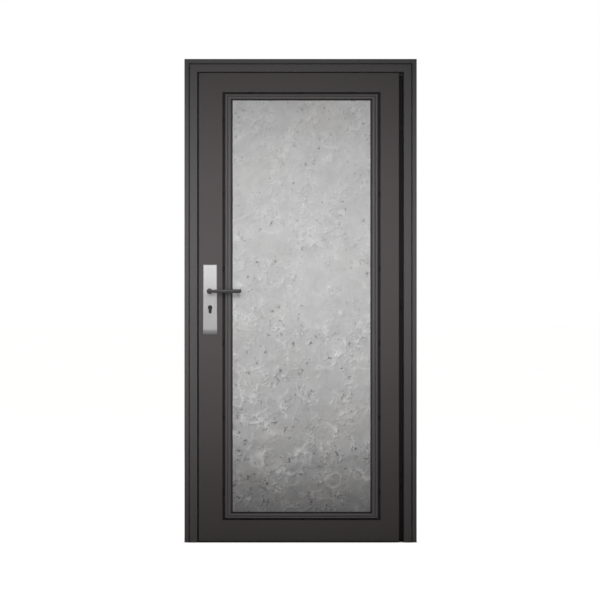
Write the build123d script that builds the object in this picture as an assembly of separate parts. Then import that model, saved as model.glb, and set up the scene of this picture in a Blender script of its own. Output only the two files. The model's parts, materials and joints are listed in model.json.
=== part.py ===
from build123d import *
import os

os.makedirs("parts", exist_ok=True)

# Security door with its frame, seen from outside: X to the right, Y into the building, Z up.
# The origin is on the floor, midway across the frame, in the middle of the leaf's thickness.

# Whole door set
door_width = 1000.0
door_height = 2080.0
overrun = 6.0  # how far a cutting shape runs past what it cuts

# Frame profile, folded from one sheet and open towards the wall
frame_sheet = 2.0
frame_depth = 105.0
frame_proud = 3.0  # how far the frame stands in front of the leaf
jamb_face = 56.0
outer_band = 18.0
band_setback = 3.0
shadow_groove = 6.0  # folded V between the outer band and the main band
groove_depth = 11.0
wall_lip = 16.0
fold_radius = 2.8
groove_lip_radius = 1.2
lock_stop = 18.0  # stop on the lock side and the head
hinge_stop = 38.0

# Gaps round the leaf
lock_gap = 5.0
head_gap = 3.0
hinge_gap = 20.0  # room for the concealed hinges
floor_gap = 4.0
stop_gap = 6.0

# Wall anchors through both jambs
anchor_hole_radius = 5.25
anchor_setback = 40.0
anchor_end = 120.0
anchor_top = 150.0
anchor_pitch = 520.0

# Stop seals and bottom sweep
seal_width = 9.0
seal_clearance = 0.5
seal_corner = 2.6
seal_core_radius = 1.5
seal_flange = 2.0  # flat part of the hinge seal, across the hinge gap
sweep_width = 10.0
sweep_end = 8.0
sweep_floor_gap = 0.8

# Leaf tubes
leaf_thickness = 64.0
leaf_wall = 2.0
lock_stile_width = 103.0
hinge_stile_width = 80.0
top_rail_width = 84.0
bottom_rail_width = 91.0
leaf_edge_radius = 3.0
panel_edge_radius = 1.0

# Panel, packers, gaskets and beads
panel_thickness = 26.0
panel_edge_gap = 6.0
packer_length = 80.0
packer_end = 150.0
gasket_thickness = 3.0
gasket_lip = 5.0
gasket_chamfer = 2.0
side_bead_width = 38.0  # from the tube to the bead's inner wall
rail_bead_width = 29.0
bead_wall = 2.0
bead_shoulder = 13.0  # heights above the gasket: outer wall, inner wall, ridges and valley
bead_foot = 10.0
outer_ridge = 18.5
bead_valley = 15.0
inner_ridge = 18.0
bead_slot_share = 0.28
outer_ridge_share = 0.43
bead_valley_share = 0.58
inner_ridge_share = 0.80
clip_sheet = 1.5
clip_height = 10.0
clip_length = 24.0
clip_end = 120.0
side_clips = 6
rail_clips = 3

# Concealed swan-neck hinges
lowest_hinge = 260.0
highest_hinge = 230.0  # below the leaf's top
pivot_inset = 14.0  # from the jamb's rebate into the jamb
pivot_setback = 22.0  # behind the frame's front
pin_radius = 5.0
pin_head_radius = 7.0
pin_head = 3.0
pin_fit = 0.05
boss_radius = 9.0
arm_leg = 11.0
arm_height = 36.0
arm_inset = 9.0  # from the leaf's back face to the arm
arm_inner_bend = 6.0
arm_outer_bend = 14.0
arm_end_gap = 0.4
bracket_ear = 10.0
bracket_room = 3.0
bracket_web = 5.0
hinge_plate = 4.0
hinge_plate_width = 32.0
hinge_plate_height = 92.0
hinge_plate_margin = 4.0
hinge_plate_corner = 5.0
hinge_screw_edge = 9.0
window_clearance = 2.0

# Screws
screw_radius = 2.5
screw_head_radius = 4.8
screw_head = 2.2
screw_length = 14.0
screw_clearance = 0.1
socket_radius = 1.7
socket_depth = 1.4

# Lock in the lock stile
backset = 50.0
lever_height = 1080.0
cylinder_drop = 70.0  # lever axis to cylinder axis
faceplate_width = 24.0
faceplate_height = 240.0
faceplate_thickness = 3.0
faceplate_above = 95.0  # above the lever axis
faceplate_screw_edge = 9.0
faceplate_fit = 0.3
mounting_tab = 5.0
mounting_tab_margin = 6.0
mounting_tab_gap = 2.0
case_depth = 90.0
case_thickness = 17.0
case_wall = 1.5
case_above = 75.0
case_below = 125.0
bolt_thickness = 12.0
bolt_fit = 0.3
latch_height = 30.0
latch_drop = 6.0  # latch's lower edge below the lever axis
latch_length = 34.0
latch_bevel = 11.0
latch_nose = 3.0
latch_tail_height = 10.0
latch_tail_thickness = 6.0
latch_tail_length = 50.0
latch_lug = 4.0
dead_bolt_height = 34.0
dead_bolt_length = 70.0
dead_bolt_rise = 17.0  # bolt's lower edge above the cylinder axis
dead_bolt_edge = 1.0
follower_radius = 10.0
follower_thickness = 12.0
follower_arm = 22.0
follower_arm_width = 8.0
follower_arm_thickness = 2.5
journal_radius = 8.0
journal_fit = 0.1
spindle_side = 8.0
spindle_fit = 0.1
spindle_end_gap = 1.0

# Profile cylinder
barrel_radius = 8.5
barrel_stem = 10.0
barrel_height = 33.0
barrel_proud = 3.0  # past the backplates
barrel_fit = 0.3
plug_radius = 6.4
plug_fit = 0.1
cam_width = 10.0
cam_radius = 8.0
cam_reach = 15.0
cam_tip = 6.0
cam_side_gap = 0.3
cam_end_gap = 0.6
keyway_width = 2.2
keyway_height = 8.6
keyway_depth = 24.0
keyway_drop = 1.2

# Backplates and levers
plate_width = 60.0
plate_above = 115.0  # above the lever axis
plate_below = 185.0
plate_thickness = 9.0
plate_wall = 2.4
plate_corner = 3.0
plate_bevel = 2.5
plate_taper = 2.5  # the outer plate thins from the lever down to its foot
plate_foot_bevel = 18.0
plate_foot_depth = 6.0
plate_cut_gap = 1.5  # round the cylinder
plate_band = 17.0  # shallow band level with the lever
plate_band_depth = 0.8
plate_bolt_edge = 24.0
plate_boss_radius = 5.0
neck_radius = 12.0
neck_fit = 0.1
neck_round = 5.0
neck_inner_gap = 1.0
lever_standoff = 46.0  # plate face to the grip's middle
lever_reach = 135.0
grip_depth = 13.0
grip_root_height = 13.0
grip_tip_height = 17.0
grip_root = 26.0
grip_corner = 4.0
grip_end_round = 3.5
socket_reach = 32.0
set_screw_radius = 2.5
set_screw_place = 16.0  # from the plate's face
set_screw_sunk = 0.8

# Strike
strike_short = 10.0  # how far each end stops short of the faceplate's
strike_width = 24.0
strike_thickness = 2.5
strike_play = 3.0
strike_screw_edge = 10.0
strike_box_depth = 28.0
strike_box_wall = 1.5
strike_box_margin = 8.0

# Places worked out from the sizes above
half_leaf = leaf_thickness / 2
frame_left = -door_width / 2
frame_right = door_width / 2
frame_front = -half_leaf - frame_proud
frame_back = frame_front + frame_depth
stop_front = half_leaf + stop_gap
rebate_left = frame_left + jamb_face
rebate_right = frame_right - jamb_face
leaf_left = rebate_left + lock_gap
leaf_right = rebate_right - hinge_gap
leaf_bottom = floor_gap
leaf_top = door_height - jamb_face - head_gap
open_left = leaf_left + lock_stile_width
open_right = leaf_right - hinge_stile_width
open_bottom = leaf_bottom + bottom_rail_width
open_top = leaf_top - top_rail_width
panel_face = panel_thickness / 2
bead_base = panel_face + gasket_thickness
lock_axis = leaf_left + backset
cylinder_height = lever_height - cylinder_drop
plate_face = half_leaf + plate_thickness
barrel_end = plate_face + barrel_proud
case_front = leaf_left + faceplate_thickness
case_back = case_front + case_depth
case_bottom = lever_height - case_below
case_top = lever_height + case_above
faceplate_top = lever_height + faceplate_above
faceplate_bottom = faceplate_top - faceplate_height
latch_bottom = lever_height - latch_drop
latch_top = latch_bottom + latch_height
dead_bolt_bottom = cylinder_height + dead_bolt_rise
dead_bolt_top = dead_bolt_bottom + dead_bolt_height
barrel_foot = cylinder_height + barrel_radius - barrel_height
barrel_screw_height = barrel_foot + barrel_stem / 2
pivot_x = rebate_right + pivot_inset
pivot_y = frame_front + pivot_setback
arm_back = half_leaf - arm_inset
top_hinge = leaf_top - highest_hinge
hinge_heights = {
    "bottom": lowest_hinge,
    "middle": (lowest_hinge + top_hinge) / 2,
    "top": top_hinge,
}
anchor_y = frame_front + anchor_setback
anchor_high = door_height - anchor_top
anchor_heights = [anchor_end, anchor_end + anchor_pitch, anchor_high - anchor_pitch, anchor_high]
plate_bolt_heights = [
    lever_height + plate_above - plate_bolt_edge,
    lever_height - plate_below + plate_bolt_edge,
]
faceplate_screw_heights = [
    faceplate_bottom + faceplate_screw_edge,
    faceplate_top - faceplate_screw_edge,
]
strike_bottom = faceplate_bottom + strike_short
strike_top = faceplate_top - strike_short
strike_screw_heights = [strike_bottom + strike_screw_edge, strike_top - strike_screw_edge]
strike_face = rebate_left + strike_thickness


# Helpers


def block(x0, x1, y0, y1, z0, z1):
    # a box between two corners
    return Pos((x0 + x1) / 2, (y0 + y1) / 2, (z0 + z1) / 2) * Box(x1 - x0, y1 - y0, z1 - z0)


def bar_x(radius, x0, x1, y, z):
    return Pos((x0 + x1) / 2, y, z) * Rot(Y=90) * Cylinder(radius, x1 - x0)


def bar_y(radius, y0, y1, x, z):
    return Pos(x, (y0 + y1) / 2, z) * Rot(X=90) * Cylinder(radius, y1 - y0)


def bar_z(radius, z0, z1, x, y):
    return Pos(x, y, (z0 + z1) / 2) * Cylinder(radius, z1 - z0)


def outline(points, radii):
    # a closed outline with its own radius at each corner
    return make_face(FilletPolyline(*points, radius=radii, close=True))


def front_outline(points, reach):
    # a polygon drawn in X and Z, thickened to both sides of the leaf's middle
    return extrude(Plane.XZ * make_face(Polyline(*points, close=True)), amount=reach, both=True)


def moved_inwards(points, distance):
    # the corners of a straight-edged outline, drawn anticlockwise, moved in by the distance
    corners = [Vector(*point) for point in points]
    moved = []
    for before, here, after in zip(corners[-1:] + corners[:-1], corners, corners[1:] + corners[:1]):
        along = (here - before).normalized()
        onward = (after - here).normalized()
        corner = here + (onward - along) * (distance / along.cross(onward).Z)
        moved.append((corner.X, corner.Y))
    return moved


def past(point, other):
    # the point moved on by the overrun, away from the other point
    start = Vector(*point)
    moved = start + (start - Vector(*other)).normalized() * overrun
    return (moved.X, moved.Y)


def side_run(profile, side, left, right, bottom, top):
    # a profile carried along one side of a rectangle, its X pointing into the rectangle
    planes = {
        "lock": Plane((left, 0, bottom), x_dir=(1, 0, 0), z_dir=(0, 0, 1)),
        "hinge": Plane((right, 0, top), x_dir=(-1, 0, 0), z_dir=(0, 0, -1)),
        "top": Plane((left, 0, top), x_dir=(0, 0, -1), z_dir=(1, 0, 0)),
        "bottom": Plane((right, 0, bottom), x_dir=(0, 0, 1), z_dir=(-1, 0, 0)),
    }
    length = top - bottom if side in ("lock", "hinge") else right - left
    return extrude(planes[side] * profile, amount=length)


def rail_zones(left, right, bottom, top, lock_width, hinge_width, bottom_width, top_width):
    # the wedge-ended fields of the top and bottom rails, cut along the mitres of a rectangle
    zones = {}
    for side, outer, inner in (
        ("top", top, top - top_width),
        ("bottom", bottom, bottom + bottom_width),
    ):
        corners = ((left, outer), (right, outer))
        inner_corners = ((left + lock_width, inner), (right - hinge_width, inner))
        points = [past(corners[0], inner_corners[0]), past(corners[1], inner_corners[1])]
        points += [past(inner_corners[1], corners[1]), past(inner_corners[0], corners[0])]
        zones[side] = front_outline(points, frame_depth)
    return zones


def mitred_set(profiles, left, right, bottom, top, widths):
    # four lengths round a rectangle, mitred where they meet
    zones = rail_zones(left, right, bottom, top, *widths)
    pieces = {}
    for side, profile in profiles.items():
        run = side_run(profile, side, left, right, bottom, top)
        if side in zones:
            pieces[side] = run & zones[side]
        else:
            pieces[side] = run - zones["top"] - zones["bottom"]
    return pieces


def screw(radius, head_radius, head, length):
    # a countersunk screw with a hexagon socket, its head flush with Z = 0
    half = [(0, 0), (head_radius, 0), (radius, -head), (radius, -length), (0, -length)]
    body = revolve(Plane.XZ * make_face(Polyline(*half, close=True)), axis=Axis.Z)
    socket = extrude(RegularPolygon(socket_radius, 6), amount=-socket_depth)
    return body - socket


def screw_hole(radius, head_radius, head, length):
    # the countersunk hole for such a screw, open above the face
    wide = head_radius + screw_clearance
    narrow = radius + screw_clearance
    half = [(0, overrun), (wide, overrun), (wide, 0), (narrow, -head), (narrow, -length - overrun)]
    half.append((0, -length - overrun))
    return revolve(Plane.XZ * make_face(Polyline(*half, close=True)), axis=Axis.Z)


def small_screw():
    return screw(screw_radius, screw_head_radius, screw_head, screw_length)


def small_screw_hole():
    return screw_hole(screw_radius, screw_head_radius, screw_head, screw_length)


def facing(point, direction):
    # a place at the point whose Z runs along the direction
    return Plane(point, z_dir=direction)


def save(shape, node):
    export_step(shape, f"parts/{node}.step")


# Frame


def frame_outline(stop, inset):
    # the folded profile's outline, or the inside of its sheet; X from the wall to the opening
    band = frame_front + band_setback
    points = [
        (0, band),
        (outer_band, band),
        (outer_band + shadow_groove / 2, frame_front + groove_depth),
        (outer_band + shadow_groove, frame_front),
        (jamb_face, frame_front),
        (jamb_face, stop_front),
        (jamb_face + stop, stop_front),
        (jamb_face + stop, frame_back),
        (0, frame_back),
    ]
    fold = fold_radius - inset
    lip = groove_lip_radius if inset == 0 else 0
    return outline(moved_inwards(points, inset), [fold, lip, 0, lip, fold, 0, fold, fold, fold])


def frame_profile(stop):
    mouth_front = frame_front + band_setback + wall_lip
    mouth_back = frame_back - wall_lip
    mouth = Pos(0, (mouth_front + mouth_back) / 2) * Rectangle(
        2 * (frame_sheet + fold_radius), mouth_back - mouth_front
    )
    return frame_outline(stop, 0) - frame_outline(stop, frame_sheet) - mouth


def head_zone():
    # the head's field: mitred faces above, and level with its stop's edge below
    reach = jamb_face + lock_stop
    outer = [(frame_left, door_height), (frame_right, door_height)]
    inner = [(frame_left + reach, door_height - reach), (frame_right - reach, door_height - reach)]
    points = [past(outer[0], inner[0]), past(outer[1], inner[1]), inner[1], inner[0]]
    return front_outline(points, frame_depth)


def plain_jamb(stop):
    # a jamb on the left, mitred under the head and drilled for its wall anchors
    jamb = Pos(frame_left, 0, 0) * extrude(frame_profile(stop), amount=door_height)
    jamb -= head_zone()
    for height in anchor_heights:
        hole_end = rebate_left - frame_sheet - overrun
        jamb -= bar_x(anchor_hole_radius, hole_end, rebate_left + overrun, anchor_y, height)
    return jamb


def bolt_windows(x0, x1, play):
    # the two openings that the latch and the dead bolt pass through
    half = bolt_thickness / 2 + play
    latch = block(x0, x1, -half, half, latch_bottom - play, latch_top + play)
    dead = block(x0, x1, -half, half, dead_bolt_bottom - play, dead_bolt_top + play)
    return latch + dead


def lock_jamb():
    wall_back = rebate_left - frame_sheet - overrun
    jamb = plain_jamb(lock_stop) - bolt_windows(wall_back, rebate_left + overrun, strike_play)
    for height in strike_screw_heights:
        radius = screw_radius + screw_clearance
        jamb -= bar_x(radius, wall_back, rebate_left + overrun, 0, height)
    return jamb


def hinge_jamb():
    jamb = mirror(plain_jamb(hinge_stop), about=Plane.YZ)
    window_front = pivot_y - boss_radius - window_clearance
    window_back = arm_back + window_clearance
    half = arm_height / 2 + window_clearance
    for height in hinge_heights.values():
        jamb -= block(
            rebate_right - overrun,
            rebate_right + frame_sheet + overrun,
            window_front,
            window_back,
            height - half,
            height + half,
        )
    return jamb


def frame_head():
    plane = Plane((frame_left, 0, door_height), x_dir=(0, 0, -1), z_dir=(1, 0, 0))
    return extrude(plane * frame_profile(lock_stop), amount=door_width) & head_zone()


def seal_profile():
    # a hollow strip on the stop, rounded where the leaf meets it; X across, Y from the stop's face
    half = seal_width / 2
    crown = stop_front - (stop_gap - seal_clearance)
    corners = [(-half, stop_front), (-half, crown), (half, crown), (half, stop_front)]
    core = Pos(0, (stop_front + crown) / 2) * Circle(seal_core_radius)
    return outline(corners, [0, seal_corner, seal_corner, 0]) - core


def flanged_seal_profile(reach):
    # the hinge side's strip, with a flat flange that lines the hinge gap as far as the rebate
    flange = Pos(reach / 2, stop_front - seal_flange / 2) * Rectangle(reach, seal_flange)
    core = Pos(0, stop_front - (stop_gap - seal_clearance) / 2) * Circle(seal_core_radius)
    return seal_profile() + flange - core


def stop_seals():
    lock_x = (leaf_left + rebate_left + lock_stop) / 2
    hinge_x = (leaf_right + rebate_right - hinge_stop) / 2
    head_z = (leaf_top + door_height - jamb_face - lock_stop) / 2
    tall = head_z + seal_width / 2
    flanged = flanged_seal_profile(rebate_right - hinge_x)
    start = Plane((lock_x + seal_width / 2, 0, head_z), x_dir=(0, 0, -1), z_dir=(1, 0, 0))
    return {
        "lock_seal": Pos(lock_x, 0, 0) * extrude(seal_profile(), amount=tall),
        "hinge_seal": Pos(hinge_x, 0, 0) * extrude(flanged, amount=tall),
        "head_seal": extrude(start * seal_profile(), amount=hinge_x - lock_x - seal_width),
    }


def strike_plate():
    half = strike_width / 2
    plate = block(rebate_left, strike_face, -half, half, strike_bottom, strike_top)
    plate -= bolt_windows(rebate_left - overrun, strike_face + overrun, strike_play)
    for height in strike_screw_heights:
        plate -= facing((strike_face, 0, height), (1, 0, 0)) * small_screw_hole()
    return plate


def strike_box():
    # the box behind the strike that keeps the bolts' way clear
    wall_inside = rebate_left - frame_sheet
    half = bolt_thickness / 2 + strike_box_margin
    low = dead_bolt_bottom - strike_box_margin
    high = latch_top + strike_box_margin
    far = wall_inside - strike_box_depth
    box = block(far, wall_inside, -half, half, low, high)
    inner = half - strike_box_wall
    room = block(
        far + strike_box_wall,
        wall_inside + overrun,
        -inner,
        inner,
        low + strike_box_wall,
        high - strike_box_wall,
    )
    return box - room


# Concealed hinges


def hinge_arm(height):
    # swan-neck arm: a boss on the pin, back round the jamb's edge and across to a plate on the leaf
    half = arm_leg / 2
    reach = arm_back - pivot_y
    to_plate = -(pivot_x - leaf_right - hinge_plate)
    neck = [
        (-half, 0),
        (-half, reach - arm_leg),
        (to_plate, reach - arm_leg),
        (to_plate, reach),
        (half, reach),
        (half, 0),
    ]
    sketch = outline(neck, [0, arm_inner_bend, 0, 0, arm_outer_bend, 0]) + Circle(boss_radius)
    arm = Pos(pivot_x, pivot_y, height) * extrude(sketch, amount=arm_height / 2, both=True)
    arm += hinge_plate_blank(height)
    arm -= bar_z(pin_radius + pin_fit, height - arm_height, height + arm_height, pivot_x, pivot_y)
    for place in hinge_screw_places(height):
        arm -= facing(place, (1, 0, 0)) * small_screw_hole()
    return arm


def hinge_plate_blank(height):
    back = half_leaf - hinge_plate_margin
    middle = back - hinge_plate_width / 2
    plane = Plane((leaf_right, middle, height), x_dir=(0, 1, 0), z_dir=(1, 0, 0))
    face = RectangleRounded(hinge_plate_width, hinge_plate_height, hinge_plate_corner)
    return extrude(plane * face, amount=hinge_plate)


def hinge_screw_places(height):
    back = half_leaf - hinge_plate_margin - hinge_screw_edge
    front = half_leaf - hinge_plate_margin - hinge_plate_width + hinge_screw_edge
    rise = hinge_plate_height / 2 - hinge_screw_edge
    face = leaf_right + hinge_plate
    return [(face, y, height + z) for y in (front, back) for z in (-rise, rise)]


def hinge_bracket(height):
    # a yoke welded inside the jamb, with an ear above and below the arm's boss
    inside = rebate_right + frame_sheet
    web = pivot_x + boss_radius + bracket_room
    front = pivot_y - boss_radius - bracket_room
    back = pivot_y + boss_radius + bracket_room
    gap = arm_height / 2 + arm_end_gap
    half = gap + bracket_ear
    yoke = block(inside, web + bracket_web, front, back, height - half, height + half)
    yoke -= block(inside - overrun, web, front - overrun, back + overrun, height - gap, height + gap)
    return yoke - bar_z(pin_radius + pin_fit, height - 2 * half, height + 2 * half, pivot_x, pivot_y)


def hinge_pin(height):
    half = arm_height / 2 + arm_end_gap + bracket_ear
    pin = bar_z(pin_radius, height - half, height + half, pivot_x, pivot_y)
    return pin + bar_z(pin_head_radius, height + half, height + half + pin_head, pivot_x, pivot_y)


# Leaf


def tube_profile(width):
    # a stile or rail: X from the leaf's edge to the panel
    inner = half_leaf - leaf_wall
    skin_corners = [(0, -half_leaf), (width, -half_leaf), (width, half_leaf), (0, half_leaf)]
    core_x = width - leaf_wall
    core_corners = [(leaf_wall, -inner), (core_x, -inner), (core_x, inner), (leaf_wall, inner)]
    core_round = max(leaf_edge_radius - leaf_wall, 0)
    skin = outline(
        skin_corners, [leaf_edge_radius, panel_edge_radius, panel_edge_radius, leaf_edge_radius]
    )
    return skin - outline(core_corners, [core_round, 0, 0, core_round])


def leaf_tubes():
    widths = (lock_stile_width, hinge_stile_width, bottom_rail_width, top_rail_width)
    profiles = {
        "lock": tube_profile(lock_stile_width),
        "hinge": tube_profile(hinge_stile_width),
        "bottom": tube_profile(bottom_rail_width),
        "top": tube_profile(top_rail_width),
    }
    return mitred_set(profiles, leaf_left, leaf_right, leaf_bottom, leaf_top, widths)


def mounting_tab_ends():
    # from past each end of the faceplate to just short of the lock case
    lower = (faceplate_bottom - mounting_tab_margin, case_bottom - mounting_tab_gap)
    upper = (case_top + mounting_tab_gap, faceplate_top + mounting_tab_margin)
    return lower, upper


def lock_stile(tube):
    # the stile with its mounting tabs, lock mortise and the holes for spindle, cylinder and bolts
    inside = leaf_left + leaf_wall
    reach = faceplate_width / 2 + mounting_tab_margin
    for low, high in mounting_tab_ends():
        tube += block(inside, inside + mounting_tab, -reach, reach, low, high)
    room = faceplate_width / 2 + faceplate_fit
    low = faceplate_bottom - faceplate_fit
    high = faceplate_top + faceplate_fit
    tube -= block(leaf_left - overrun, case_front, -room, room, low, high)
    for height in faceplate_screw_heights:
        tube -= facing((leaf_left, 0, height), (-1, 0, 0)) * small_screw_hole()
    tube -= bar_y(neck_radius, -leaf_thickness, leaf_thickness, lock_axis, lever_height)
    tube -= barrel(leaf_thickness, barrel_fit)
    for height in plate_bolt_heights:
        radius = screw_radius + screw_clearance
        tube -= bar_y(radius, -leaf_thickness, leaf_thickness, lock_axis, height)
    return tube


def hinge_stile(tube):
    for height in hinge_heights.values():
        for x, y, z in hinge_screw_places(height):
            radius = screw_radius + screw_clearance
            tube -= bar_x(radius, leaf_right - leaf_wall - overrun, leaf_right + overrun, y, z)
    return tube


def bottom_sweep():
    half = sweep_width / 2
    return block(
        leaf_left + sweep_end, leaf_right - sweep_end, -half, half, sweep_floor_gap, leaf_bottom
    )


# Panel and its beads


def infill_panel():
    return block(
        open_left + panel_edge_gap,
        open_right - panel_edge_gap,
        -panel_face,
        panel_face,
        open_bottom + panel_edge_gap,
        open_top - panel_edge_gap,
    )


def panel_packers():
    # blocks that hold the panel's edge off the tubes, two to a side
    half = packer_length / 2
    packers = []
    for x in (open_left + packer_end, open_right - packer_end):
        for z in (open_bottom, open_top - panel_edge_gap):
            packers.append(
                block(x - half, x + half, -panel_face, panel_face, z, z + panel_edge_gap)
            )
    for z in (open_bottom + packer_end, open_top - packer_end):
        for x in (open_left, open_right - panel_edge_gap):
            packers.append(
                block(x, x + panel_edge_gap, -panel_face, panel_face, z - half, z + half)
            )
    return Compound(children=packers)


def bead_profile(width):
    # the front bead: outer wall beside the open slot, two rounded ridges, inner wall to the gasket
    slot = width * bead_slot_share
    shoulder = (slot, -(bead_base + bead_shoulder))
    first = (width * outer_ridge_share, -(bead_base + outer_ridge))
    valley = (width * bead_valley_share, -(bead_base + bead_valley))
    second = (width * inner_ridge_share, -(bead_base + inner_ridge))
    foot = (width, -(bead_base + bead_foot))
    lines = Curve() + [
        Polyline(foot, (width, -bead_base), (slot, -bead_base), shoulder),
        ThreePointArc(shoulder, first, valley),
        ThreePointArc(valley, second, foot),
    ]
    hollow_low = bead_base + bead_wall
    hollow_high = bead_base + bead_foot - bead_wall
    hollow = Pos((slot + width) / 2, -(hollow_low + hollow_high) / 2) * Rectangle(
        width - slot - 2 * bead_wall, hollow_high - hollow_low
    )
    return make_face(lines) - hollow


def front_beads():
    widths = (side_bead_width, side_bead_width, rail_bead_width, rail_bead_width)
    profiles = {
        "lock": bead_profile(side_bead_width),
        "hinge": bead_profile(side_bead_width),
        "bottom": bead_profile(rail_bead_width),
        "top": bead_profile(rail_bead_width),
    }
    return mitred_set(profiles, open_left, open_right, open_bottom, open_top, widths)


def clip_profile(slot):
    # an angle: one leg on the tube, the other across the slot to the bead's outer wall
    base = -bead_base
    points = [
        (0, base),
        (0, base - clip_height),
        (clip_sheet, base - clip_height),
        (clip_sheet, base - clip_sheet),
        (slot, base - clip_sheet),
        (slot, base),
    ]
    return make_face(Polyline(*points, close=True))


def bead_clips():
    # the clips that hold the front beads, spaced evenly along the foot of each slot
    clips = []
    half = clip_length / 2
    for side in ("lock", "hinge", "top", "bottom"):
        upright = side in ("lock", "hinge")
        width = side_bead_width if upright else rail_bead_width
        profile = clip_profile(width * bead_slot_share)
        run = side_run(profile, side, open_left, open_right, open_bottom, open_top)
        low, high = (open_bottom, open_top) if upright else (open_left, open_right)
        count = side_clips if upright else rail_clips
        step = (high - low - 2 * clip_end) / (count - 1)
        for index in range(count):
            start = low + clip_end + index * step - half
            end = start + clip_length
            if upright:
                piece = block(open_left, open_right, -half_leaf, 0, start, end)
            else:
                piece = block(start, end, -half_leaf, 0, open_bottom, open_top)
            clips += (run & piece).solids()
    return Compound(children=clips)


def front_gasket():
    # a flat ring from the tubes to past the beads, black in the slot, with a sloping lip in sight
    side = side_bead_width + gasket_lip
    rail = rail_bead_width + gasket_lip
    x0, x1 = open_left + side, open_right - side
    z0, z1 = open_bottom + rail, open_top - rail
    ring = block(open_left, open_right, -bead_base, -panel_face, open_bottom, open_top)
    ring -= block(x0, x1, -bead_base - overrun, -panel_face + overrun, z0, z1)
    lip = [
        edge
        for edge in ring.edges()
        if abs(edge.center().Y + bead_base) < gasket_chamfer / 2
        and x0 - gasket_lip < edge.center().X < x1 + gasket_lip
        and z0 - gasket_lip < edge.center().Z < z1 + gasket_lip
    ]
    return chamfer(lip, gasket_chamfer)


# Lock


def barrel_sketch(fit):
    # the profile cylinder's outline about its own axis
    drop = barrel_height - barrel_radius - barrel_stem / 2
    stem = Pos(0, -drop / 2) * Rectangle(barrel_stem + 2 * fit, drop)
    return Circle(barrel_radius + fit) + stem + Pos(0, -drop) * Circle(barrel_stem / 2 + fit)


def barrel(reach, fit):
    plane = Plane((lock_axis, 0, cylinder_height), x_dir=(1, 0, 0), z_dir=(0, -1, 0))
    return extrude(plane * barrel_sketch(fit), amount=reach, both=True)


def cylinder_body():
    body = barrel(barrel_end, 0)
    body -= bar_y(plug_radius + plug_fit, -barrel_end - overrun, barrel_end + overrun,
                  lock_axis, cylinder_height)
    half = cam_width / 2 + cam_side_gap
    wide = cam_reach + overrun
    body -= block(
        lock_axis - wide,
        lock_axis + wide,
        -half,
        half,
        cylinder_height - cam_reach - cam_end_gap,
        cylinder_height + wide,
    )
    radius = screw_radius + screw_clearance
    return body - bar_x(radius, lock_axis - wide, lock_axis + wide, 0, barrel_screw_height)


def outer_plug():
    plug = bar_y(plug_radius, -barrel_end, -cam_width / 2, lock_axis, cylinder_height)
    middle = cylinder_height - keyway_drop
    return plug - block(
        lock_axis - keyway_width / 2,
        lock_axis + keyway_width / 2,
        -barrel_end - overrun,
        -barrel_end + keyway_depth,
        middle - keyway_height / 2,
        middle + keyway_height / 2,
    )


def inner_plug():
    plug = mirror(outer_plug(), about=Plane.XZ)
    half = cam_width / 2 + cam_side_gap
    return plug - block(
        lock_axis - barrel_radius,
        lock_axis + barrel_radius,
        0,
        half,
        cylinder_height - barrel_radius,
        cylinder_height + barrel_radius,
    )


def cylinder_cam():
    half = cam_width / 2
    cam = bar_y(cam_radius, -half, half, lock_axis, cylinder_height)
    tip = block(
        lock_axis - cam_tip / 2,
        lock_axis + cam_tip / 2,
        -half,
        half,
        cylinder_height - cam_reach,
        cylinder_height,
    )
    return cam + tip


def cylinder_screw():
    place = facing((leaf_left, 0, barrel_screw_height), (-1, 0, 0))
    return place * screw(screw_radius, screw_head_radius, screw_head, backset + barrel_stem / 2)


def case_holes():
    # bearings for the follower and the way through for the cylinder
    holes = bar_y(journal_radius + journal_fit, -case_thickness, case_thickness,
                  lock_axis, lever_height)
    return holes + barrel(case_thickness, barrel_fit)


def lock_case():
    # a tray open to the faceplate and to its cover
    half = case_thickness / 2
    tray = block(case_front, case_back, -half, half - case_wall, case_bottom, case_top)
    tray -= block(
        case_front - overrun,
        case_back - case_wall,
        -half + case_wall,
        half + overrun,
        case_bottom + case_wall,
        case_top - case_wall,
    )
    return tray - case_holes()


def case_cover():
    half = case_thickness / 2
    lid = block(case_front, case_back, half - case_wall, half, case_bottom, case_top)
    return lid - case_holes()


def lock_faceplate():
    half = faceplate_width / 2
    plate = block(leaf_left, case_front, -half, half, faceplate_bottom, faceplate_top)
    plate -= bolt_windows(leaf_left - overrun, case_front + overrun, bolt_fit)
    for height in faceplate_screw_heights + [barrel_screw_height]:
        plate -= facing((leaf_left, 0, height), (-1, 0, 0)) * small_screw_hole()
    return plate


def latch_bolt():
    # the bolt drawn back flush with the faceplate: bevelled head, tail over the follower and its lug
    half = bolt_thickness / 2
    rear = leaf_left + latch_length
    plan = [
        (leaf_left, -half),
        (rear, -half),
        (rear, half),
        (leaf_left + latch_bevel, half),
        (leaf_left, -half + latch_nose),
    ]
    head = extrude(make_face(Polyline(*plan, close=True)), amount=latch_height)
    side = latch_tail_thickness / 2
    end = rear + latch_tail_length
    tail_low = latch_top - latch_tail_height
    tail = block(rear - latch_lug, end, -side, side, tail_low, latch_top)
    lug = block(end - latch_lug, end, -half, half, tail_low - latch_lug, latch_top)
    return Pos(0, 0, latch_bottom) * head + tail + lug


def dead_bolt():
    half = bolt_thickness / 2
    bolt = block(
        leaf_left, leaf_left + dead_bolt_length, -half, half, dead_bolt_bottom, dead_bolt_top
    )
    return chamfer(bolt.faces().sort_by(Axis.X)[0].edges(), dead_bolt_edge)


def follower():
    half = follower_thickness / 2
    case_half = case_thickness / 2
    hub = bar_y(follower_radius, -half, half, lock_axis, lever_height)
    hub += bar_y(journal_radius, -case_half, case_half, lock_axis, lever_height)
    arm_side = follower_arm_width / 2
    hub += block(
        lock_axis - arm_side,
        lock_axis + arm_side,
        half - follower_arm_thickness,
        half,
        lever_height,
        lever_height + follower_arm,
    )
    return hub - square_bar(spindle_side / 2 + spindle_fit, -plate_face, plate_face)


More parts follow.
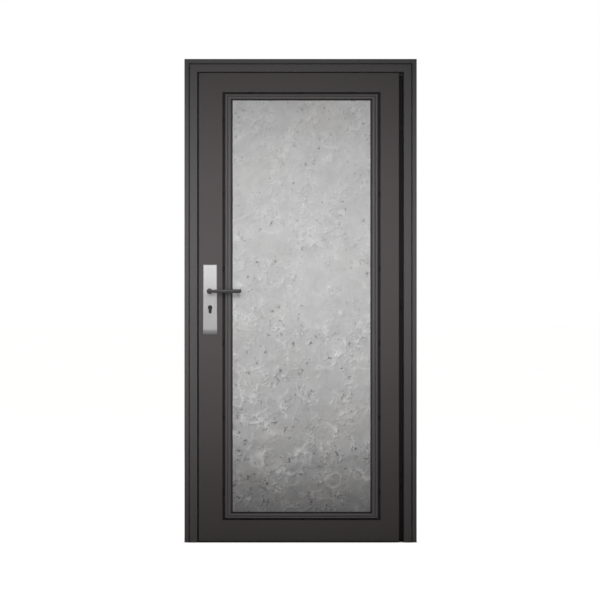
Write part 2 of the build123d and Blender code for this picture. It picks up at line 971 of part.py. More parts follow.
def square_bar(half, y0, y1):
    return block(
        lock_axis - half, lock_axis + half, y0, y1, lever_height - half, lever_height + half
    )


def spindle():
    end = half_leaf + neck_inner_gap + socket_reach - spindle_end_gap
    return square_bar(spindle_side / 2, -end, end)


# Backplates and levers


def plate_shell(taper):
    # the outer backplate: a hollow tray with bevelled edges and a shallow band level with the lever
    top = lever_height + plate_above
    bottom = lever_height - plate_below
    middle = (top + bottom) / 2
    base = Plane((lock_axis, -half_leaf, middle), x_dir=(1, 0, 0), z_dir=(0, -1, 0))
    tall = top - bottom
    shell = extrude(base * RectangleRounded(plate_width, tall, plate_corner), amount=plate_thickness)
    rim = shell.faces().sort_by(Axis.Y)[0].edges()
    shell = chamfer(rim, plate_bevel)
    half = plate_width / 2 + overrun
    wedge = [
        (-plate_face - overrun, bottom - overrun),
        (-plate_face + plate_foot_depth, bottom - overrun),
        (-plate_face + plate_foot_depth, bottom),
        (-plate_face + taper, bottom + plate_foot_bevel),
        (-plate_face, lever_height - plate_band / 2),
        (-plate_face - overrun, lever_height - plate_band / 2),
    ]
    side = Plane((lock_axis, 0, 0), x_dir=(0, 1, 0), z_dir=(1, 0, 0))
    shell -= extrude(side * make_face(Polyline(*wedge, close=True)), amount=half, both=True)
    shell -= block(
        lock_axis - half,
        lock_axis + half,
        -plate_face - overrun,
        -plate_face + plate_band_depth,
        lever_height - plate_band / 2,
        lever_height + plate_band / 2,
    )
    rise = plate_thickness - plate_foot_depth
    low = bottom + plate_foot_bevel - plate_wall
    inner = plate_width / 2 - plate_bevel - plate_wall
    shell -= block(
        lock_axis - inner,
        lock_axis + inner,
        -plate_face + max(plate_wall + plate_band_depth, plate_thickness - rise),
        -half_leaf + overrun,
        low,
        top - plate_bevel - plate_wall,
    )
    return shell


def plate_bosses():
    bosses = [
        bar_y(plate_boss_radius, -plate_face + plate_wall, -half_leaf, lock_axis, height)
        for height in plate_bolt_heights
    ]
    return bosses[0] + bosses[1]


def plate_openings():
    holes = bar_y(neck_radius + neck_fit, -leaf_thickness, 0, lock_axis, lever_height)
    return holes + barrel(leaf_thickness, plate_cut_gap)


def outer_backplate():
    plate = plate_shell(plate_taper) + plate_bosses() - plate_openings()
    for height in plate_bolt_heights:
        radius = screw_radius + screw_clearance
        plate -= bar_y(radius, -plate_face + plate_wall, 0, lock_axis, height)
    return plate


def inner_backplate():
    plate = mirror(plate_shell(0) + plate_bosses() - plate_openings(), about=Plane.XZ)
    for height in plate_bolt_heights:
        plate -= facing((lock_axis, plate_face, height), (0, 1, 0)) * small_screw_hole()
    return plate


def backplate_bolts():
    length = 2 * plate_face - plate_wall - screw_clearance
    bolt = screw(screw_radius, screw_head_radius, screw_head, length)
    return Compound(
        children=[
            facing((lock_axis, plate_face, height), (0, 1, 0)) * bolt for height in plate_bolt_heights
        ]
    )


def outer_lever():
    # a round neck on the spindle and a straight grip that swells towards a blunt end
    grip_y = -plate_face - lever_standoff
    inner_end = -half_leaf - neck_inner_gap
    front = grip_y - grip_depth / 2
    neck = bar_y(neck_radius, front, inner_end, lock_axis, lever_height)
    neck = fillet(neck.faces().sort_by(Axis.Y)[0].edges(), neck_round)
    stations = [
        (0, grip_root_height),
        (grip_root, grip_root_height),
        (lever_reach, grip_tip_height),
    ]
    sections = []
    for reach, tall in stations:
        plane = Plane(
            (lock_axis + reach, grip_y, lever_height), x_dir=(0, 1, 0), z_dir=(1, 0, 0)
        )
        sections.append(plane * RectangleRounded(grip_depth, tall, grip_corner))
    grip = loft(sections, ruled=True)
    grip = fillet(grip.faces().sort_by(Axis.X)[-1].edges(), grip_end_round)
    lever = neck + grip
    half = spindle_side / 2 + spindle_fit
    lever -= square_bar(half, inner_end - socket_reach, inner_end + overrun)
    place = -plate_face - set_screw_place
    return lever - bar_z(
        set_screw_radius + screw_clearance,
        lever_height - neck_radius - overrun,
        lever_height,
        lock_axis,
        place,
    )


def set_screws():
    # one headless screw under each neck, bearing on the spindle
    low = lever_height - neck_radius + set_screw_sunk
    high = lever_height - spindle_side / 2
    pieces = []
    for place in (-plate_face - set_screw_place, plate_face + set_screw_place):
        pin = bar_z(set_screw_radius, low, high, lock_axis, place)
        socket = Plane((lock_axis, place, low), z_dir=(0, 0, 1)) * extrude(
            RegularPolygon(socket_radius, 6), amount=socket_depth
        )
        pieces.append(pin - socket)
    return Compound(children=pieces)


# Writing every piece to its own file


def screw_group(places, direction):
    return Compound(children=[facing(place, direction) * small_screw() for place in places])


save(lock_jamb(), "lock_jamb")
save(hinge_jamb(), "hinge_jamb")
save(frame_head(), "frame_head")
for node, seal in stop_seals().items():
    save(seal, node)
save(strike_plate(), "strike_plate")
save(strike_box(), "strike_box")
save(screw_group([(strike_face, 0, z) for z in strike_screw_heights], (1, 0, 0)), "strike_screws")

hinge_places = []
for name, height in hinge_heights.items():
    save(hinge_bracket(height), f"hinge_bracket_{name}")
    save(hinge_pin(height), f"hinge_pin_{name}")
    save(hinge_arm(height), f"hinge_arm_{name}")
    hinge_places += hinge_screw_places(height)
save(screw_group(hinge_places, (1, 0, 0)), "hinge_screws")

tubes = leaf_tubes()
save(lock_stile(tubes["lock"]), "lock_stile")
save(hinge_stile(tubes["hinge"]), "hinge_stile")
save(tubes["top"], "top_rail")
save(tubes["bottom"], "bottom_rail")
save(bottom_sweep(), "bottom_sweep")

save(infill_panel(), "infill_panel")
save(panel_packers(), "panel_packers")
for side, bead in front_beads().items():
    save(bead, f"front_bead_{side}")
    save(mirror(bead, about=Plane.XZ), f"back_bead_{side}")
clips = bead_clips()
save(clips, "front_bead_clips")
save(mirror(clips, about=Plane.XZ), "back_bead_clips")
gasket = front_gasket()
save(gasket, "front_gasket")
save(mirror(gasket, about=Plane.XZ), "back_gasket")

save(lock_case(), "lock_case")
save(case_cover(), "case_cover")
save(lock_faceplate(), "lock_faceplate")
faceplate_places = [(leaf_left, 0, z) for z in faceplate_screw_heights]
save(screw_group(faceplate_places, (-1, 0, 0)), "faceplate_screws")
save(latch_bolt(), "latch_bolt")
save(dead_bolt(), "dead_bolt")
save(follower(), "follower")
save(spindle(), "spindle")
save(cylinder_body(), "cylinder_body")
save(outer_plug(), "outer_plug")
save(inner_plug(), "inner_plug")
save(cylinder_cam(), "cylinder_cam")
save(cylinder_screw(), "cylinder_screw")

save(outer_backplate(), "outer_backplate")
save(inner_backplate(), "inner_backplate")
save(backplate_bolts(), "backplate_bolts")
lever = outer_lever()
save(lever, "outer_lever")
save(mirror(lever, about=Plane.XZ), "inner_lever")
save(set_screws(), "lever_set_screws")
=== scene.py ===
import json
import math
import bpy
import numpy as np
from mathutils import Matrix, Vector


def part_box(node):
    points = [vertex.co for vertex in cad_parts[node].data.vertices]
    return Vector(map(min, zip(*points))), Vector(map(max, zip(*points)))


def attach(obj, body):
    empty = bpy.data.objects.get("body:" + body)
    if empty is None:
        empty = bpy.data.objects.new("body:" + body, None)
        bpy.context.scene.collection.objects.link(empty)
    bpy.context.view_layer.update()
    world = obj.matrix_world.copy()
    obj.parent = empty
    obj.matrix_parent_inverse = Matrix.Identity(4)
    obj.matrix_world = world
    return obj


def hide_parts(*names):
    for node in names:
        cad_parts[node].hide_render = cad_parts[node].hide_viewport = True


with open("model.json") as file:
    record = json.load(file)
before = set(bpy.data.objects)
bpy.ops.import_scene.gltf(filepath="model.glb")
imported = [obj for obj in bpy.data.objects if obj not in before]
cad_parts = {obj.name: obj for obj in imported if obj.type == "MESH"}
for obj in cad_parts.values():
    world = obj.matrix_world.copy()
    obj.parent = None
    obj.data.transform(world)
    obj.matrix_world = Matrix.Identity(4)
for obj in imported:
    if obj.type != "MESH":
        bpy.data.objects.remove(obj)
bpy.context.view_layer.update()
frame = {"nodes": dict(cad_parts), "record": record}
print("frame loaded:", len(frame["nodes"]), "nodes")


# camera: square on, level, as far back as a 100 mm lens needs
cameraView = dict(
    lens=100.0,  # millimetres, as the sensor
    sensor=36.0,
    place=(-0.0025, -7.203, 1.0425),
    turn=(90.0, 0.0, 0.0),
    farthest=200.0,
)


def makeCamera():
    lens = bpy.data.cameras.new("doorCamera")
    lens.lens = cameraView["lens"]
    lens.sensor_width = cameraView["sensor"]
    lens.clip_end = cameraView["farthest"]
    camera = bpy.data.objects.new("doorCamera", lens)
    camera.location = cameraView["place"]
    camera.rotation_euler = [math.radians(a) for a in cameraView["turn"]]
    bpy.context.scene.collection.objects.link(camera)
    bpy.context.scene.camera = camera


# node helper: settings go on the node, inputs take a value or another node's output
def addNode(tree, kind, inputs=None, **settings):
    node = tree.nodes.new(kind)
    for key, value in settings.items():
        setattr(node, key, value)
    for key, value in (inputs or {}).items():
        if isinstance(value, bpy.types.NodeSocket):
            tree.links.new(value, node.inputs[key])
        else:
            node.inputs[key].default_value = value
    return node


def mapped(tree, value, span, to, smooth=False):
    # straight or smooth ramp from the two ends of span to the two ends of to, clamped at both
    kind = "SMOOTHSTEP" if smooth else "LINEAR"
    inputs = {"Value": value, "From Min": span[0], "From Max": span[1], "To Min": to[0], "To Max": to[1]}
    return addNode(tree, "ShaderNodeMapRange", inputs, interpolation_type=kind).outputs[0]


def noise(tree, vector, scale, detail=3.0, rough=0.5, twist=0.0):
    # noise from 0 to 1 with scale waves to the metre, finer by detail, bent by twist
    inputs = {"Vector": vector, "Scale": scale, "Detail": detail, "Roughness": rough, "Distortion": twist}
    return addNode(tree, "ShaderNodeTexNoise", inputs).outputs[0]


def combined(tree, operation, a, b, clamp=False):
    # one operation on a and b: their sum, difference or product, or the greater of the two
    return addNode(tree, "ShaderNodeMath", {0: a, 1: b}, operation=operation, use_clamp=clamp).outputs[0]


def times(tree, *values):
    # the product of two or more values
    product = values[0]
    for value in values[1:]:
        product = combined(tree, "MULTIPLY", product, value)
    return product


def tinted(tree, colour, value):
    # colour times one value, for tone that changes over the surface
    return addNode(tree, "ShaderNodeVectorMath", {0: colour, "Scale": value}, operation="SCALE").outputs[0]


def blended(tree, share, first, second):
    # the first colour where share is 0, the second where it is 1
    inputs = {0: share, 6: (*first, 1.0), 7: (*second, 1.0)}
    return addNode(tree, "ShaderNodeMix", inputs, data_type="RGBA").outputs[2]


def objectPlace(tree):
    return addNode(tree, "ShaderNodeTexCoord").outputs["Object"]


def placeParts(tree, place):
    # x, y and z of a place, in metres
    return addNode(tree, "ShaderNodeSeparateXYZ", {0: place}).outputs


# a finish group puts out colour, roughness and height
def newFinish(name, inputs):
    group = bpy.data.node_groups.new(name, "ShaderNodeTree")
    for key, kind in inputs.items():
        group.interface.new_socket(key, in_out="INPUT", socket_type=kind)
    for key, kind in (("Color", "Color"), ("Roughness", "Float"), ("Height", "Float")):
        group.interface.new_socket(key, in_out="OUTPUT", socket_type="NodeSocket" + kind)
    return group, group.nodes.new("NodeGroupInput"), group.nodes.new("NodeGroupOutput")


noiseSpan = (0.3, 0.7)  # most of a noise lies between these
whole = (0.0, 1.0)  # the full run of a mask


# powder coat: slow clouds and flecks in the tone, fine orange peel in the height
powder = dict(
    clouds=dict(scale=2.6, detail=4.0, rough=0.55),
    cloudSheen=(0.9, 1.1),
    flecks=dict(scale=950.0, detail=1.0),
    fleckTone=(0.93, 1.07),
    peelDetail=2.0,
    peelDepth=0.00012,  # metres
)


def makePowderCoat():
    # colour is the paint times the flecks times clouds that run from 1 - cloud to 1 + cloud;
    # roughness is the gloss times the sheen of the same clouds
    inputs = {"Paint": "NodeSocketColor", "Cloud": "NodeSocketFloat", "Gloss": "NodeSocketFloat"}
    group, given, put = newFinish("powderCoat", {**inputs, "Peel": "NodeSocketFloat"})
    place = objectPlace(group)
    clouds = noise(group, place, **powder["clouds"])
    flecks = noise(group, place, **powder["flecks"])
    low = combined(group, "SUBTRACT", 1.0, given.outputs["Cloud"])
    high = combined(group, "ADD", 1.0, given.outputs["Cloud"])
    tone = mapped(group, clouds, noiseSpan, (low, high))
    tone = times(group, tone, mapped(group, flecks, noiseSpan, powder["fleckTone"]))
    sheen = times(group, given.outputs["Gloss"], mapped(group, clouds, noiseSpan, powder["cloudSheen"]))
    peel = noise(group, place, given.outputs["Peel"], powder["peelDetail"])
    group.links.new(tinted(group, given.outputs["Paint"], tone), put.inputs["Color"])
    group.links.new(sheen, put.inputs["Roughness"])
    group.links.new(peel, put.inputs["Height"])
    return group


# brushed metal: noise stretched along the grain, and faint clouds of handling
brushed = dict(
    lines=dict(scale=1.0, detail=3.0, rough=0.6),
    lineTone=(0.98, 1.02),
    lineSheen=(0.985, 1.015),
    clouds=dict(scale=17.0, detail=3.0),
    cloudTone=(0.98, 1.02),
    depth=0.000003,  # metres
)


def makeBrushedGrain():
    # colour is the metal times the lines times the clouds, roughness is the gloss times the lines
    inputs = {"Metal": "NodeSocketColor", "Grain": "NodeSocketVector", "Gloss": "NodeSocketFloat"}
    group, given, put = newFinish("brushedGrain", inputs)
    place = objectPlace(group)
    stretch = {0: place, 1: given.outputs["Grain"]}
    along = addNode(group, "ShaderNodeVectorMath", stretch, operation="MULTIPLY").outputs[0]
    lines = noise(group, along, **brushed["lines"])
    clouds = noise(group, place, **brushed["clouds"])
    tone = mapped(group, lines, noiseSpan, brushed["lineTone"])
    tone = times(group, tone, mapped(group, clouds, noiseSpan, brushed["cloudTone"]))
    sheen = times(group, mapped(group, lines, noiseSpan, brushed["lineSheen"]), given.outputs["Gloss"])
    group.links.new(tinted(group, given.outputs["Metal"], tone), put.inputs["Color"])
    group.links.new(sheen, put.inputs["Roughness"])
    group.links.new(lines, put.inputs["Height"])
    return group


def newMaterial(name):
    material = bpy.data.materials.new(name)
    material.use_nodes = True
    return material, material.node_tree, material.node_tree.nodes["Principled BSDF"]


def surfaced(tree, shader, colour, roughness, height, depth, strength=0.5):
    # colour and roughness go to the shader, height goes through a bump of that depth in metres
    bump = addNode(tree, "ShaderNodeBump", {"Height": height, "Distance": depth, "Strength": strength})
    tree.links.new(colour, shader.inputs["Base Color"])
    tree.links.new(roughness, shader.inputs["Roughness"])
    tree.links.new(bump.outputs[0], shader.inputs["Normal"])


# painted steel, rubber and plastic: one coat each; peel is bumps to the metre
coats = {
    "frame_paint": dict(paint=(0.093, 0.090, 0.091), cloud=0.05, gloss=0.48, peel=420.0, specular=0.10),
    "leaf_paint": dict(paint=(0.081, 0.0735, 0.075), cloud=0.05, gloss=0.48, peel=420.0, specular=0.10),
    "bead_paint": dict(paint=(0.078, 0.074, 0.075), cloud=0.05, gloss=0.40, peel=420.0, specular=0.30),
    "lever_paint": dict(paint=(0.012, 0.0115, 0.0115), cloud=0.10, gloss=0.17, peel=900.0, specular=0.55),
    "hinge_steel": dict(paint=(0.009, 0.0085, 0.0085), cloud=0.15, gloss=0.55, peel=700.0, specular=0.15),
    "seal_rubber": dict(paint=(0.022, 0.021, 0.021), cloud=0.20, gloss=0.70, peel=650.0, specular=0.20),
    "packer_plastic": dict(paint=(0.26, 0.26, 0.27), cloud=0.06, gloss=0.55, peel=500.0, specular=0.40),
}


def makeCoat(slot, group):
    look = coats[slot]
    material, tree, shader = newMaterial(slot)
    paint = (*look["paint"], 1.0)
    inputs = {"Paint": paint, "Cloud": look["cloud"], "Gloss": look["gloss"], "Peel": look["peel"]}
    coat = addNode(tree, "ShaderNodeGroup", inputs, node_tree=group)
    shader.inputs["Specular IOR Level"].default_value = look["specular"]
    surfaced(tree, shader, *coat.outputs, powder["peelDepth"])
    return material


# bare metal: the grain's three numbers are lines to the metre along x, y and z
metals = {
    "plate_steel": dict(metal=(0.37, 0.366, 0.368), grain=(700.0, 700.0, 7.0), gloss=0.28),
    "cylinder_metal": dict(metal=(0.035, 0.034, 0.033), grain=(260.0, 30.0, 260.0), gloss=0.5),
    "lock_steel": dict(metal=(0.46, 0.455, 0.45), grain=(600.0, 600.0, 20.0), gloss=0.40),
    "screw_steel": dict(metal=(0.42, 0.42, 0.43), grain=(300.0, 300.0, 300.0), gloss=0.34),
}
# the plates are darker towards their foot: painted shade
shadedFeet = {"plate_steel": dict(node="outer_backplate", height=0.030, tone=0.42)}


def makeMetal(slot, group):
    look = metals[slot]
    material, tree, shader = newMaterial(slot)
    inputs = {"Metal": (*look["metal"], 1.0), "Grain": look["grain"], "Gloss": look["gloss"]}
    grain = addNode(tree, "ShaderNodeGroup", inputs, node_tree=group)
    shader.inputs["Metallic"].default_value = 1.0
    colour, roughness, height = grain.outputs
    if slot in shadedFeet:
        foot = shadedFeet[slot]
        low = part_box(foot["node"])[0][2]
        z = placeParts(tree, objectPlace(tree))["Z"]
        # painted shade: darker over the lowest few centimetres of the plate
        footShade = mapped(tree, z, (low, low + foot["height"]), (foot["tone"], 1.0), True)
        colour = tinted(tree, colour, footShade)
    surfaced(tree, shader, colour, roughness, height, brushed["depth"])
    return material


# concrete face: tone and warm are its two colours, and every other tone multiplies them
# the top, side, foot and calm spans are in metres, the other spans are values of a noise
# a chip is a pale flake where its noise passes its level, a pore is a dark pit where it stays below;
# chips and pores crowd in patches, and least is how strong a pore is outside them
concrete = dict(
    tone=(0.520, 0.524, 0.530),
    warm=(0.528, 0.524, 0.515),
    warmPatches=dict(scale=4.7, detail=2.0),
    warmSpan=(0.45, 0.75),
    warmShare=(0.0, 0.7),
    clouds=dict(scale=3.4, detail=4.0, rough=0.58, twist=0.5),
    cloudTone=(0.93, 1.06),
    patches=dict(scale=13.0, detail=4.0, rough=0.6, twist=0.8),
    patchSpan=(0.28, 0.72),
    patchTone=(0.91, 1.09),
    roughness=(0.72, 0.9),
    specular=0.2,
    grain=dict(scale=230.0, detail=2.0, rough=0.65),
    grainSpan=(0.25, 0.75),
    grainTone=(0.94, 1.06),
    grainRelief=0.3,
    relief=0.0006,
    reliefStrength=1.0,
    # painted light: lighter towards the top
    topLightSpan=(1.0, 1.6),
    topLightTone=1.09,
    # painted light: lighter towards the right, darker towards the left
    sideLightSpan=(-0.30, 0.30),
    sideLightTone=(0.93, 1.06),
    footSpan=(-0.03, 0.37),
    footTone=0.50,
    footClouds=0.2,
    footRagged=(-0.05, 0.05),
    # painted light on the ridges and rims, painted shade in the bowls
    ridgeLightTone=1.38,
    crowds=dict(scale=6.5, detail=3.0, rough=0.6),
    crowdSpan=(0.40, 0.54),
    crowdLeast=0.08,
    calmSpan=(0.3, 1.2),
    calmTop=0.42,
    chips=(
        dict(scale=9.5, level=0.555, twist=1.2, tone=1.10),
        dict(scale=20.0, level=0.57, twist=1.0, tone=1.17),
        dict(scale=40.0, level=0.575, twist=0.6, tone=1.20),
    ),
    chipDetail=2.0,
    chipEdge=0.06,
    # painted shadow along each chip's lower right border: its shift in metres and its tone
    chipShadowShift=(-0.0045, 0.0, 0.0045),
    chipShadowTone=0.82,
    pores=(
        dict(scale=23.0, level=0.405, twist=0.8, tone=0.82, least=0.0),
        dict(scale=46.0, level=0.372, twist=0.5, tone=0.45, least=0.0),
        dict(scale=34.0, level=0.335, twist=0.3, tone=0.55, least=0.9),
    ),
    poreDetail=3.0,
    poreRough=0.64,
    poreEdge=0.03,
)


def chipMask(tree, place, chip, crowd):
    # 1 on a flake, 0 off it: a smooth step of its noise at its level, times the crowding
    flakes = noise(tree, place, chip["scale"], concrete["chipDetail"], twist=chip["twist"])
    edge = (chip["level"], chip["level"] + concrete["chipEdge"])
    return times(tree, mapped(tree, flakes, edge, whole, True), crowd)


def poreMask(tree, place, pore, crowd):
    # 1 in a pit, 0 outside: a smooth step below its level, times the crowding or its least strength
    pits = noise(tree, place, pore["scale"], concrete["poreDetail"], concrete["poreRough"], pore["twist"])
    edge = (pore["level"] - concrete["poreEdge"], pore["level"])
    strength = mapped(tree, crowd, whole, (pore["least"], 1.0))
    return times(tree, mapped(tree, pits, edge, (1.0, 0.0), True), strength)


def makeConcrete():
    # tone is the product of clouds, patches, grain, chips and pores, painted light on the ridges,
    # painted shade in the bowls, a painted shadow beside each chip, and slow changes over the height
    # and the width: painted light towards the top and the right, and a darker foot;
    # relief is grain plus chips minus pores
    material, tree, shader = newMaterial("concrete_panel")
    place = objectPlace(tree)
    # the place moved for the painted shadow beside each chip
    shift = {0: place, 1: concrete["chipShadowShift"]}
    shifted = addNode(tree, "ShaderNodeVectorMath", shift, operation="ADD").outputs[0]
    across, _, height = placeParts(tree, place)
    clouds = noise(tree, place, **concrete["clouds"])
    patches = noise(tree, place, **concrete["patches"])
    grain = noise(tree, place, **concrete["grain"])
    crowds = noise(tree, place, **concrete["crowds"])
    crowd = times(
        tree,
        mapped(tree, crowds, concrete["crowdSpan"], (concrete["crowdLeast"], 1.0)),
        mapped(tree, height, concrete["calmSpan"], (1.0, concrete["calmTop"])),
    )
    # the ridges' strength: painted light on ridges and rims, painted shade in the bowls
    ridges = addNode(tree, "ShaderNodeAttribute", attribute_name="ridges").outputs["Fac"]
    ridgeLightTone = concrete["ridgeLightTone"]
    tone = times(
        tree,
        mapped(tree, clouds, noiseSpan, concrete["cloudTone"]),
        mapped(tree, patches, concrete["patchSpan"], concrete["patchTone"]),
        # painted light towards the top
        mapped(tree, height, concrete["topLightSpan"], (1.0, concrete["topLightTone"])),
        mapped(tree, grain, concrete["grainSpan"], concrete["grainTone"]),
        # painted light towards the right
        mapped(tree, across, concrete["sideLightSpan"], concrete["sideLightTone"]),
        mapped(tree, ridges, (-1.0, 1.0), (2.0 - ridgeLightTone, ridgeLightTone)),
    )
    relief = times(tree, grain, concrete["grainRelief"])
    for chip in concrete["chips"]:
        # a painted shadow lies along a chip's lower right border: the same chip, shifted, where the first
        # isn't
        flake = chipMask(tree, place, chip, crowd)
        border = combined(tree, "SUBTRACT", chipMask(tree, shifted, chip, crowd), flake, clamp=True)
        tone = times(tree, tone, mapped(tree, flake, whole, (1.0, chip["tone"])))
        tone = times(tree, tone, mapped(tree, border, whole, (1.0, concrete["chipShadowTone"])))
        relief = combined(tree, "ADD", relief, flake)
    for pore in concrete["pores"]:
        pit = poreMask(tree, place, pore, crowd)
        tone = times(tree, tone, mapped(tree, pit, whole, (1.0, pore["tone"])))
        relief = combined(tree, "SUBTRACT", relief, pit)
    # the dark foot: its border follows the clouds, and the patches make it ragged
    footLine = combined(tree, "SUBTRACT", height, times(tree, clouds, concrete["footClouds"]))
    footLine = combined(tree, "ADD", footLine, mapped(tree, patches, noiseSpan, concrete["footRagged"]))
    tone = times(tree, tone, mapped(tree, footLine, concrete["footSpan"], (concrete["footTone"], 1.0), True))
    warmth = noise(tree, place, **concrete["warmPatches"])
    warmth = mapped(tree, warmth, concrete["warmSpan"], concrete["warmShare"])
    colour = tinted(tree, blended(tree, warmth, concrete["tone"], concrete["warm"]), tone)
    rough = mapped(tree, patches, noiseSpan, concrete["roughness"])
    shader.inputs["Specular IOR Level"].default_value = concrete["specular"]
    surfaced(tree, shader, colour, rough, relief, concrete["relief"], concrete["reliefStrength"])
    return material


def latticeNoise(x, z, pitch, seed):
    # random heights on a square lattice, blended smoothly (3t^2 - 2t^3) between its corners
    across, along = x / pitch, z / pitch
    i, j = np.floor(across).astype(int), np.floor(along).astype(int)
    s, t = across - i, along - j
    s, t = s * s * (3 - 2 * s), t * t * (3 - 2 * t)
    i, j = i - i.min(), j - j.min()
    knots = np.random.default_rng(seed).uniform(-1, 1, (i.max() + 2, j.max() + 2))
    lower = knots[i, j] * (1 - s) + knots[i + 1, j] * s
    upper = knots[i, j + 1] * (1 - s) + knots[i + 1, j + 1] * s
    return lower * (1 - t) + upper * t


# relief of the cast face, in millimetres
# waves are (pitch, height), rings are (x, z, radius, height), noises are (pitch, step from the seed)
cast = dict(
    columns=190,
    rows=440,
    backColumns=60,
    backRows=120,
    frontSeed=11,
    backSeed=57,
    waves=((160.0, 0.5), (62.0, 0.9), (30.0, 0.7), (15.0, 0.35)),
    ridgeNoise=(115.0, 20),
    ridgeWidth=0.07,
    ridgeHeight=1.0,
    bendNoise=(34.0, 21),
    bendShare=0.3,
    breakNoise=(70.0, 22),
    breakGain=2.2,
    fadeTop=1150.0,
    fadeRun=900.0,
    fadeLeast=0.25,
    rings=(
        (144.0, 262.0, 31.0, 2.2),
        (248.0, 288.0, 17.0, 1.4),
        (163.0, 188.0, 24.0, 1.2),
        (-38.0, 268.0, 26.0, 1.2),
    ),
    rimWidth=5.0,
    rimLight=0.5,
    unevenNoise=(26.0, 23),
    uneven=7.0,
    patchNoise=(40.0, 24),
    patchShare=0.25,
    bowlShare=0.7,
    bowlDepth=0.5,
    bowlShade=0.25,
    edge=20.0,
    covered=37.0,
)
perMetre = 1000.0  # millimetres


def castRelief(x, z, seed):
    # height over the plain face: waves of falling size, thin ridges where a slow noise crosses zero,
    # and uneven rims round shallow bowls; the ridges' strength, below zero in the bowls, sets painted light
    # on ridges and rims and painted shade in the bowls; both are zero under the beads
    def slow(name):
        pitch, step = cast[name]
        return latticeNoise(x, z, pitch, seed + step)

    height = sum(a * latticeNoise(x, z, p, seed + k) for k, (p, a) in enumerate(cast["waves"]))
    lower = np.clip((cast["fadeTop"] - z) / cast["fadeRun"], cast["fadeLeast"], 1.0)
    bend = slow("ridgeNoise") + cast["bendShare"] * slow("bendNoise")
    broken = np.clip(slow("breakNoise") * cast["breakGain"], 0, 1)
    ridges = np.exp(-((bend / cast["ridgeWidth"]) ** 2)) * broken * lower
    uneven = cast["uneven"] * slow("unevenNoise")
    patchy = slow("patchNoise")
    for cx, cz, radius, rise in cast["rings"]:
        r = np.hypot(x - cx, z - cz) + uneven
        rim = np.exp(-(((r - radius) / cast["rimWidth"]) ** 2))
        rim = rim * (1 - cast["patchShare"] + cast["patchShare"] * patchy)
        bowl = np.exp(-((r / (radius * cast["bowlShare"])) ** 4))  # nearly flat inside
        height += rise * rim - cast["bowlDepth"] * rise * bowl
        # the rims count into the painted light, the bowls sink below zero for painted shade
        ridges = np.maximum(ridges, cast["rimLight"] * rise * rim) - cast["bowlShade"] * rise * bowl
    height += cast["ridgeHeight"] * ridges
    edge = np.minimum(np.minimum(x - x.min(), x.max() - x), np.minimum(z - z.min(), z.max() - z))
    fade = np.clip((edge - cast["covered"]) / cast["edge"], 0, 1)
    return height * fade, ridges * fade


def gridFaces(columns, rows, start, turned):
    # the four corners of each cell of a grid whose vertices run row by row
    j, i = np.mgrid[0:rows, 0:columns]
    a = (start + j * (columns + 1) + i).ravel()
    corners = [a, a + 1, a + columns + 2, a + columns + 1]
    return np.stack(corners[::-1] if turned else corners, axis=1)


def rimOf(columns, rows, start):
    # vertex numbers along the four borders of such a grid: left, right, foot, top
    ids = start + np.arange((columns + 1) * (rows + 1)).reshape(rows + 1, columns + 1)
    return ids[:, 0], ids[:, -1], ids[0], ids[-1]


def castFace(low, high, columns, rows, plain, outward, seed):
    # a grid over the slab's width and height, each point moved out of the plain face by the relief
    x, z = np.meshgrid(np.linspace(low[0], high[0], columns + 1), np.linspace(low[2], high[2], rows + 1))
    height, ridges = castRelief(x, z, seed)
    points = np.stack([x, plain + outward * height, z], axis=-1).reshape(-1, 3)
    return points, ridges.ravel()


def makePanelSlab():
    # a front and a back face of the cast slab, closed by four flat edges
    low, high = [np.array(corner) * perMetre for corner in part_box("infill_panel")]
    grid, backGrid = (cast["columns"], cast["rows"]), (cast["backColumns"], cast["backRows"])
    front, frontRidges = castFace(low, high, *grid, low[1], -1.0, cast["frontSeed"])
    back, backRidges = castFace(low, high, *backGrid, high[1], 1.0, cast["backSeed"])
    start = len(front)
    faces = gridFaces(*grid, 0, False).tolist() + gridFaces(*backGrid, start, True).tolist()
    frontRim, backRim = rimOf(*grid, 0), rimOf(*backGrid, start)
    for k, turned in enumerate((False, True, True, False)):
        loop = np.concatenate([frontRim[k], backRim[k][::-1]])
        faces.append((loop[::-1] if turned else loop).tolist())
    mesh = bpy.data.meshes.new("panel_slab")
    mesh.from_pydata((np.concatenate([front, back]) / perMetre).tolist(), [], faces)
    layer = mesh.attributes.new("ridges", "FLOAT", "POINT")
    layer.data.foreach_set("value", np.concatenate([frontRidges, backRidges]).astype(np.float32))
    smooth = np.ones(len(faces), bool)
    smooth[-len(frontRim):] = False  # the four edges, added last, stay flat
    mesh.polygons.foreach_set("use_smooth", smooth)
    mesh.update()
    slab = bpy.data.objects.new("panel_slab", mesh)
    bpy.context.scene.collection.objects.link(slab)
    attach(slab, "leaf")
    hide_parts("infill_panel")
    print("panel slab:", len(faces), "faces")
    return slab


# lamps: a wide level one in front that metal doesn't mirror, a weaker one above it for the sheen,
# one on each side behind the front plane for the open leaf, and a soft one behind
lamps = {
    "frontLamp": dict(
        place=(-0.36, -2.70, 1.20), aim=(90.0, 0.0, 0.0), size=(2.4, 1.0),
        watts=9.9, spread=67.0, sheen=False,
    ),
    "sheenLamp": dict(
        place=(-0.30, -2.60, 1.88), aim=(74.0, 0.0, 0.0), size=(2.4, 0.5),
        watts=4.0, spread=56.0, sheen=True,
    ),
    "leftLamp": dict(
        place=(-3.4, 1.0, 1.25), aim=(0.0, -90.0, 0.0), size=(1.6, 1.6),
        watts=60.0, spread=180.0, sheen=False,
    ),
    "rightLamp": dict(
        place=(3.4, 1.0, 1.25), aim=(0.0, 90.0, 0.0), size=(1.6, 1.6),
        watts=60.0, spread=180.0, sheen=False,
    ),
    "backLamp": dict(
        place=(0.4, 3.6, 2.2), aim=(-75.0, 0.0, 0.0), size=(2.4, 1.6),
        watts=70.0, spread=180.0, sheen=False,
    ),
}


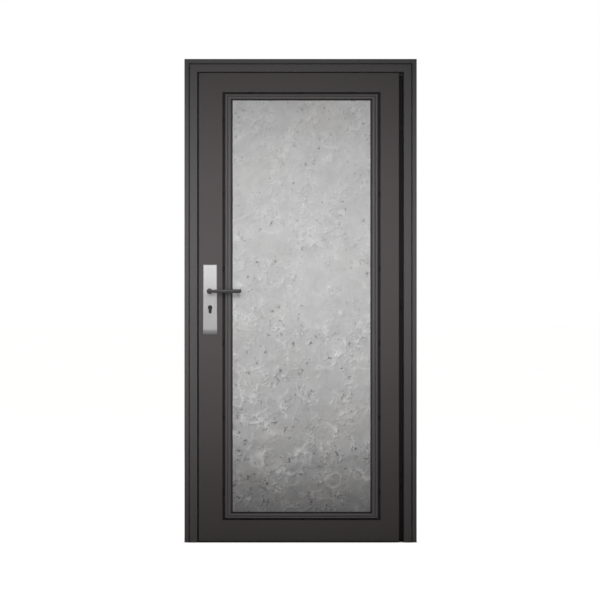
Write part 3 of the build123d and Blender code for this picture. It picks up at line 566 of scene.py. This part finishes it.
def makeLamps():
    for name, lamp in lamps.items():
        light = bpy.data.lights.new(name, "AREA")
        light.shape = "RECTANGLE"
        light.size, light.size_y = lamp["size"]
        light.energy = lamp["watts"]
        light.spread = math.radians(lamp["spread"])
        holder = bpy.data.objects.new(name, light)
        holder.location = lamp["place"]
        holder.rotation_euler = [math.radians(a) for a in lamp["aim"]]
        holder.visible_camera = False
        holder.visible_glossy = lamp["sheen"]
        bpy.context.scene.collection.objects.link(holder)


# studio: white to the eye and in metal, dimmer and warmer as a light
white = (1.0, 1.0, 1.0)
studio = dict(
    ambient=0.048,
    ambientTint=(1.0, 0.86, 0.80),
    floorTone=(0.30, 0.25, 0.22),
    floorGlow=0.985,
    # reach, span and samples of the painted contact shade on the floor
    floorGap=0.05,
    gapSpan=(0.35, 0.9),
    gapSamples=16,
    floorReach=60.0,
    floorRough=0.9,
)


def seenDirectly(tree):
    # 1 for rays from the camera, off glossy metal or through glass, 0 for diffuse light
    path = addNode(tree, "ShaderNodeLightPath")
    seen = path.outputs["Is Camera Ray"]
    for key in ("Is Glossy Ray", "Is Transmission Ray"):
        seen = combined(tree, "MAXIMUM", seen, path.outputs[key])
    return seen


def makeWorld():
    world = bpy.data.worlds.new("studioWorld")
    world.use_nodes = True
    bpy.context.scene.world = world
    tree = world.node_tree
    background = tree.nodes["Background"]
    seen = seenDirectly(tree)
    tree.links.new(blended(tree, seen, studio["ambientTint"], white), background.inputs["Color"])
    tree.links.new(mapped(tree, seen, whole, (studio["ambient"], 1.0)), background.inputs["Strength"])


def makeFloor():
    # a flat square; its tone and glow fade where something stands close over it: painted contact shade
    reach = studio["floorReach"]
    x, y = np.meshgrid((-reach, reach), (-reach, reach))
    mesh = bpy.data.meshes.new("studioFloor")
    mesh.from_pydata(np.stack([x.ravel(), y.ravel(), np.zeros(x.size)], axis=1).tolist(), [], [(0, 1, 3, 2)])
    floor = bpy.data.objects.new("studioFloor", mesh)
    bpy.context.scene.collection.objects.link(floor)
    material, tree, shader = newMaterial("studioFloor")
    shader.inputs["Specular IOR Level"].default_value = 0.0
    shader.inputs["Roughness"].default_value = studio["floorRough"]
    shader.inputs["Emission Color"].default_value = (*white, 1.0)
    # painted contact shade: darker where something stands close over the floor
    gap = {"Distance": studio["floorGap"]}
    near = addNode(tree, "ShaderNodeAmbientOcclusion", gap, samples=studio["gapSamples"]).outputs["AO"]
    clear = mapped(tree, near, studio["gapSpan"], whole)
    tree.links.new(tinted(tree, studio["floorTone"], clear), shader.inputs["Base Color"])
    glow = times(tree, seenDirectly(tree), clear, studio["floorGlow"])
    tree.links.new(glow, shader.inputs["Emission Strength"])
    mesh.materials.append(material)


def dressNodes(finishes):
    # each node's own slots take the finish that the record names for it
    for part in frame["record"]["subparts"]:
        for holder in frame["nodes"][part["node"]].material_slots:
            holder.material = finishes[part["material_slot"]]


makeCamera()
powderCoat, brushedGrain = makePowderCoat(), makeBrushedGrain()
finishes = {slot: makeCoat(slot, powderCoat) for slot in coats}
finishes.update({slot: makeMetal(slot, brushedGrain) for slot in metals})
finishes["concrete_panel"] = makeConcrete()
print("finishes:", ", ".join(sorted(finishes)))
dressNodes(finishes)
panelSlab = makePanelSlab()
panelSlab.data.materials.append(finishes["concrete_panel"])
makeLamps()
makeWorld()
makeFloor()
bpy.context.scene.view_settings.view_transform = "Standard"
print("studio ready")
